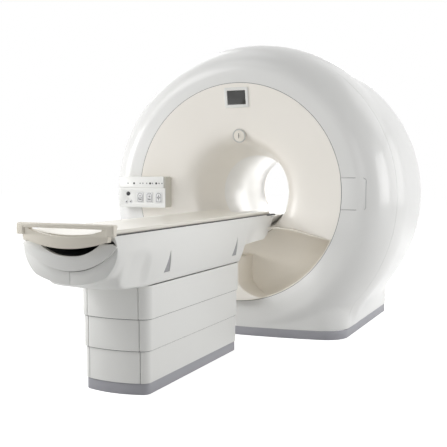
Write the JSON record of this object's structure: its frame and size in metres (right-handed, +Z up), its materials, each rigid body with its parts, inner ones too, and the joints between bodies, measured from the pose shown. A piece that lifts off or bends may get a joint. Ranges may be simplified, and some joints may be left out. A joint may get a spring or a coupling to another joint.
{
  "type": "magnetic resonance scanner",
  "caption": "Closed-bore magnetic resonance scanner: a round covered magnet with a patient tunnel, and a lifting patient table with a sliding top.",
  "frame": {"origin": "on the floor straight below the middle of the magnet, at the underside of its floor plate", "axes": "+Y from the table's foot end towards the rear of the magnet, +Z up, +X to the right of a person facing the magnet"},
  "size_m": [2.4856, 3.902, 2.334],
  "materials": {
    "cover_white": "satin moulded skin",
    "inner_cream": "satin moulded skin",
    "bay_beige": "matte moulded skin",
    "skirt_slate": "matte moulded skin",
    "table_white": "satin moulded skin",
    "grip_beige": "satin moulded plastic",
    "board_cream": "satin laminate",
    "recess_dark": "matte moulded plastic",
    "panel_white": "satin moulded plastic",
    "panel_side": "matte moulded plastic",
    "trim_grey": "matte moulded plastic",
    "key_white": "matte film key",
    "key_dark": "matte rubber cap",
    "screen_dark": "gloss cover glass over a dark screen",
    "lens_clear": "gloss window",
    "tunnel_white": "satin laminate",
    "vessel_paint": "satin paint",
    "coil_resin": "cast resin",
    "frame_steel": "satin paint",
    "mast_alloy": "brushed",
    "roller_grey": "matte moulded plastic"
  },
  "bodies": {
    "scanner_base": {"magnet_vessel": "vessel_paint", "gradient_coil": "coil_resin", "body_coil": "coil_resin", "tunnel_liner": "tunnel_white", "tunnel_bridge": "tunnel_white", "magnet_foot_front": "frame_steel", "magnet_foot_rear": "frame_steel", "magnet_floor_plate": "frame_steel", "ring_cover": "cover_white", "rear_cover": "cover_white", "plinth_skirt": "skirt_slate", "inner_cover": "inner_cream", "docking_bay": "bay_beige", "docking_tower": "inner_cream", "back_cover": "inner_cream", "display_frame": "panel_white", "display_glass": "screen_dark", "lamp_ring": "trim_grey", "lamp_lens": "lens_clear", "side_hatch": "cover_white", "panel_bracket": "panel_side", "panel_upper": "panel_white", "panel_lower": "panel_white", "base_plate": "frame_steel", "column_skirt": "skirt_slate", "lower_shroud": "table_white", "mast_outer": "mast_alloy"},
    "lift_middle": {"middle_shroud": "table_white", "mast_middle": "mast_alloy"},
    "table_lift": {"upper_shroud": "table_white", "mast_inner": "mast_alloy", "hull_left": "table_white", "hull_right": "table_white", "channel_liner": "recess_dark", "foot_fascia": "table_white", "lift_plate": "frame_steel", "foot_grip": "grip_beige", "cradle_front": "mast_alloy", "cradle_rear": "mast_alloy"},
    "table_top": {"tabletop": "board_cream", "carriage_left": "roller_grey", "carriage_right": "roller_grey"},
    "front_roller": {"roller_front": "roller_grey"},
    "rear_roller": {"roller_rear": "roller_grey"},
    "pictogram_key_1_cap": {"pictogram_key_1": "key_white"},
    "pictogram_key_2_cap": {"pictogram_key_2": "key_white"},
    "pictogram_key_3_cap": {"pictogram_key_3": "key_white"},
    "arrow_key_1_cap": {"arrow_key_1": "key_white"},
    "arrow_key_2_cap": {"arrow_key_2": "key_white"},
    "round_key_cap": {"round_key": "key_dark"}
  },
  "joints": [
    {"name": "lift_middle_slide", "type": "slide", "parent": "scanner_base", "child": "lift_middle", "axis": [0, 0, 1], "range_m": [-0.15, 0]},
    {"name": "table_lift_slide", "type": "slide", "parent": "scanner_base", "child": "table_lift", "axis": [0, 0, 1], "range_m": [-0.3, 0]},
    {"name": "table_top_slide", "type": "slide", "parent": "table_lift", "child": "table_top", "axis": [0, 1, 0], "range_m": [0, 1.6]},
    {"name": "front_roller_spin", "type": "hinge", "parent": "table_lift", "child": "front_roller", "pos_m": [0, -1.3, 0.92], "axis": [1, 0, 0], "continuous": true},
    {"name": "rear_roller_spin", "type": "hinge", "parent": "table_lift", "child": "rear_roller", "pos_m": [0, -0.972, 0.92], "axis": [1, 0, 0], "continuous": true},
    {"name": "pictogram_key_1_press", "type": "slide", "parent": "scanner_base", "child": "pictogram_key_1_cap", "axis": [0, 1, 0], "range_m": [0, 0.0015], "stiffness_N_per_m": 1500},
    {"name": "pictogram_key_2_press", "type": "slide", "parent": "scanner_base", "child": "pictogram_key_2_cap", "axis": [0, 1, 0], "range_m": [0, 0.0015], "stiffness_N_per_m": 1500},
    {"name": "pictogram_key_3_press", "type": "slide", "parent": "scanner_base", "child": "pictogram_key_3_cap", "axis": [0, 1, 0], "range_m": [0, 0.0015], "stiffness_N_per_m": 1500},
    {"name": "arrow_key_1_press", "type": "slide", "parent": "scanner_base", "child": "arrow_key_1_cap", "axis": [0, 1, 0], "range_m": [0, 0.0015], "stiffness_N_per_m": 1500},
    {"name": "arrow_key_2_press", "type": "slide", "parent": "scanner_base", "child": "arrow_key_2_cap", "axis": [0, 1, 0], "range_m": [0, 0.0015], "stiffness_N_per_m": 1500},
    {"name": "round_key_press", "type": "slide", "parent": "scanner_base", "child": "round_key_cap", "axis": [0, 1, 0], "range_m": [0, 0.0015], "stiffness_N_per_m": 1500}
  ],
  "couplings": [
    {"joint": "lift_middle_slide", "follows": "table_lift_slide", "ratio": 0.5},
    {"joint": "front_roller_spin", "follows": "table_top_slide", "rad_per_m": -50},
    {"joint": "rear_roller_spin", "follows": "table_top_slide", "rad_per_m": -50}
  ]
}
